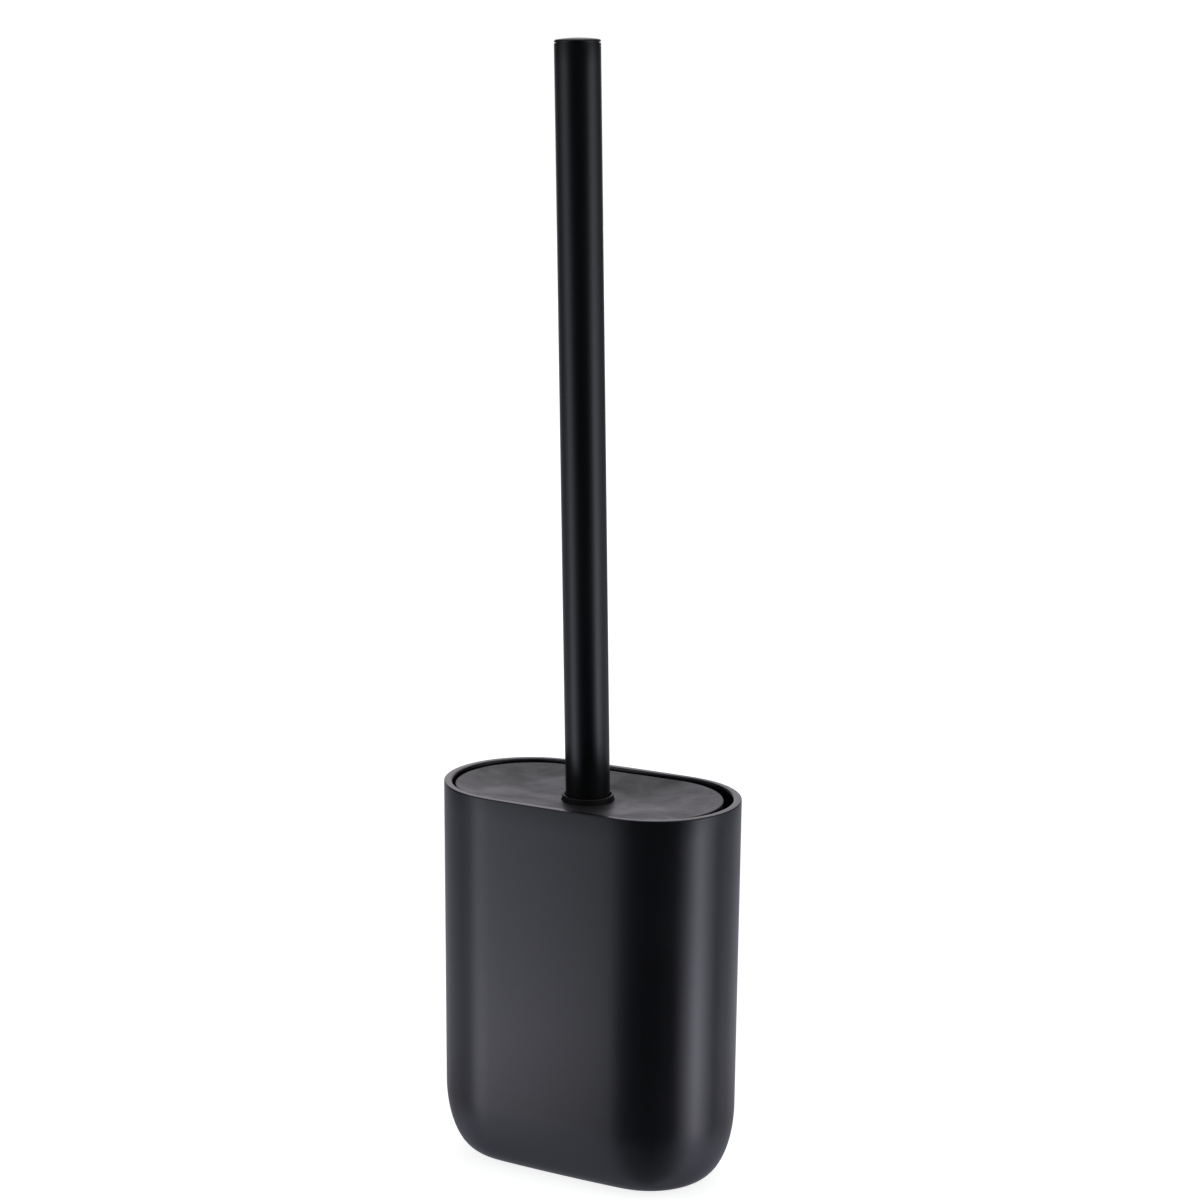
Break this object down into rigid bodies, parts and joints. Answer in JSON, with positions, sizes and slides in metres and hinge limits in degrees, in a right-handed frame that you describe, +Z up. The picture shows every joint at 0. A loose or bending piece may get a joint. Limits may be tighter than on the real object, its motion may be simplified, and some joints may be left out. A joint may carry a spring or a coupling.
{
  "type": "toilet brush and holder",
  "caption": "Slim free-standing toilet brush holder: flat-sided cup with half-round ends, loose dished lid and a round brush on a slender tube handle running through the lid.",
  "frame": {"origin": "on the standing surface, under the middle of the cup (bottom centre of the bounding box)", "axes": "+Z up and along the handle, +X along the long side of the cup, the handle leans a little towards -Y"},
  "size_m": [0.113, 0.0644, 0.4047],
  "materials": {
    "cup": "satin black moulding",
    "lid": "fine matte black moulding",
    "bushing": "smooth black nylon",
    "feet": "matte rubber",
    "tube": "satin black coated stainless steel",
    "end_cap": "smooth black plug",
    "threaded_metal": "zinc plated",
    "washer": "soft black rubber",
    "core": "moulded black polypropylene",
    "bristles": "black nylon bristle"
  },
  "bodies": {
    "holder": {"holder_cup": "cup", "foot_pad_front_left": "feet", "foot_pad_back_left": "feet", "foot_pad_front_right": "feet", "foot_pad_back_right": "feet"},
    "lid": {"lid_plate": "lid", "lid_bushing": "bushing"},
    "brush_slide": {"sealing_washer": "washer"},
    "handle": {"handle_tube": "tube", "handle_end_cap": "end_cap", "handle_threaded_plug": "threaded_metal"},
    "brush_head": {"head_core": "core", "head_stud": "threaded_metal", "bristle_row_1": "bristles", "bristle_row_2": "bristles", "bristle_row_3": "bristles", "bristle_row_4": "bristles", "bristle_row_5": "bristles", "bristle_row_6": "bristles", "bristle_row_7": "bristles", "bristle_tip": "bristles"}
  },
  "joints": [
    {"name": "lid_lift", "type": "slide", "parent": "holder", "child": "lid", "axis": [0, 0, 1], "range_m": [0, 0.165]},
    {"name": "brush_rise", "type": "slide", "parent": "lid", "child": "brush_slide", "axis": [-0.0066, -0.031, 0.9995], "range_m": [0, 0.03]},
    {"name": "handle_spin", "type": "hinge", "parent": "brush_slide", "child": "handle", "pos_m": [-0.001, -0.0005, 0.13705], "axis": [-0.0066, -0.031, 0.9995], "continuous": true},
    {"name": "head_unscrew", "type": "hinge", "parent": "handle", "child": "brush_head", "pos_m": [-0.001, -0.0005, 0.13705], "axis": [-0.0066, -0.031, 0.9995], "continuous": true}
  ]
}
